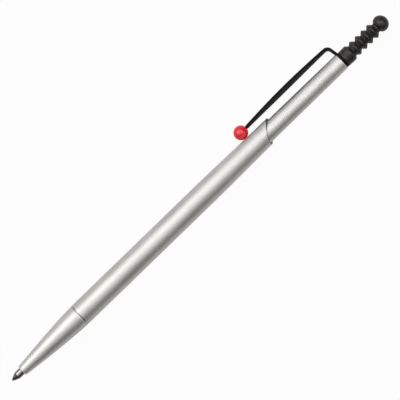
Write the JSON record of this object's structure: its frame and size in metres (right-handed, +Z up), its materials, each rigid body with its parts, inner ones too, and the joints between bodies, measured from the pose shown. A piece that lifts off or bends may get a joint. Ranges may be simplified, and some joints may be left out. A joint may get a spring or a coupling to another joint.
{
  "type": "ballpoint pen",
  "caption": "Slim twist-action ballpoint pen with a satin silver barrel cut at a slant, a black clip that ends in a red ball, and a ribbed black rubber knob.",
  "frame": {"origin": "centre of the base of the bounding box, on the table that the pen lies on", "axes": "+X along the pen from the writing point to the rubber knob, +Z up from the table, and the clip points to +Y and a little down"},
  "size_m": [0.138, 0.0102, 0.0065],
  "materials": {
    "satin_silver": "satin anodised",
    "bright_steel": "bright",
    "plain_steel": "plain",
    "brass": "turned",
    "black_paint": "satin",
    "black_rubber": "matt",
    "white_acetal": "moulded",
    "red_gloss": "polished",
    "black_ink": "wet"
  },
  "bodies": {
    "barrel": {"lower_barrel": "satin_silver", "thread_bush": "brass", "mechanism_housing": "brass", "spring_seat": "brass", "twist_bearing": "white_acetal", "return_spring": "plain_steel"},
    "washer": {"nose_washer": "plain_steel"},
    "nose": {"nose_cone": "satin_silver"},
    "refill": {"refill_tube": "brass", "refill_point": "bright_steel", "ink_column": "black_ink", "refill_carrier": "white_acetal", "drive_pin": "plain_steel"},
    "ball": {"writing_ball": "bright_steel"},
    "upper": {"upper_barrel": "satin_silver", "cam_spindle": "white_acetal", "thrust_washer": "black_rubber", "end_bush": "brass", "clip_ring": "black_paint", "end_plug": "black_paint", "rubber_knob": "black_rubber"},
    "clip": {"clip_arm": "black_paint", "clip_ball": "red_gloss"}
  },
  "joints": [
    {"name": "barrel_twist", "type": "hinge", "parent": "barrel", "child": "upper", "pos_m": [0.01897, -0.00188, 0.00323], "axis": [1, 0, 0], "range_deg": [0, 180]},
    {"name": "refill_slide", "type": "slide", "parent": "barrel", "child": "refill", "axis": [1, 0, 0], "range_m": [0, 0.0042], "deforming": ["return_spring"]},
    {"name": "ball_roll", "type": "hinge", "parent": "refill", "child": "ball", "pos_m": [-0.06865, -0.00188, 0.00323], "axis": [0, 1, 0], "continuous": true},
    {"name": "clip_flex", "type": "hinge", "parent": "upper", "child": "clip", "pos_m": [0.05259, 0.00201, 0.00227], "axis": [0, -0.2402, -0.9707], "range_deg": [0, 5], "stiffness_Nm_per_rad": 0.8},
    {"name": "nose_travel", "type": "slide", "parent": "barrel", "child": "washer", "axis": [-1, 0, 0], "range_m": [0, 0.006]},
    {"name": "nose_unscrew", "type": "hinge", "parent": "washer", "child": "nose", "pos_m": [-0.04393, -0.00188, 0.00323], "axis": [-1, 0, 0], "range_deg": [0, 4320]}
  ],
  "couplings": [
    {"joint": "barrel_twist", "follows": "refill_slide", "rad_per_m": 747.99},
    {"joint": "nose_unscrew", "follows": "nose_travel", "rad_per_m": 12566}
  ]
}
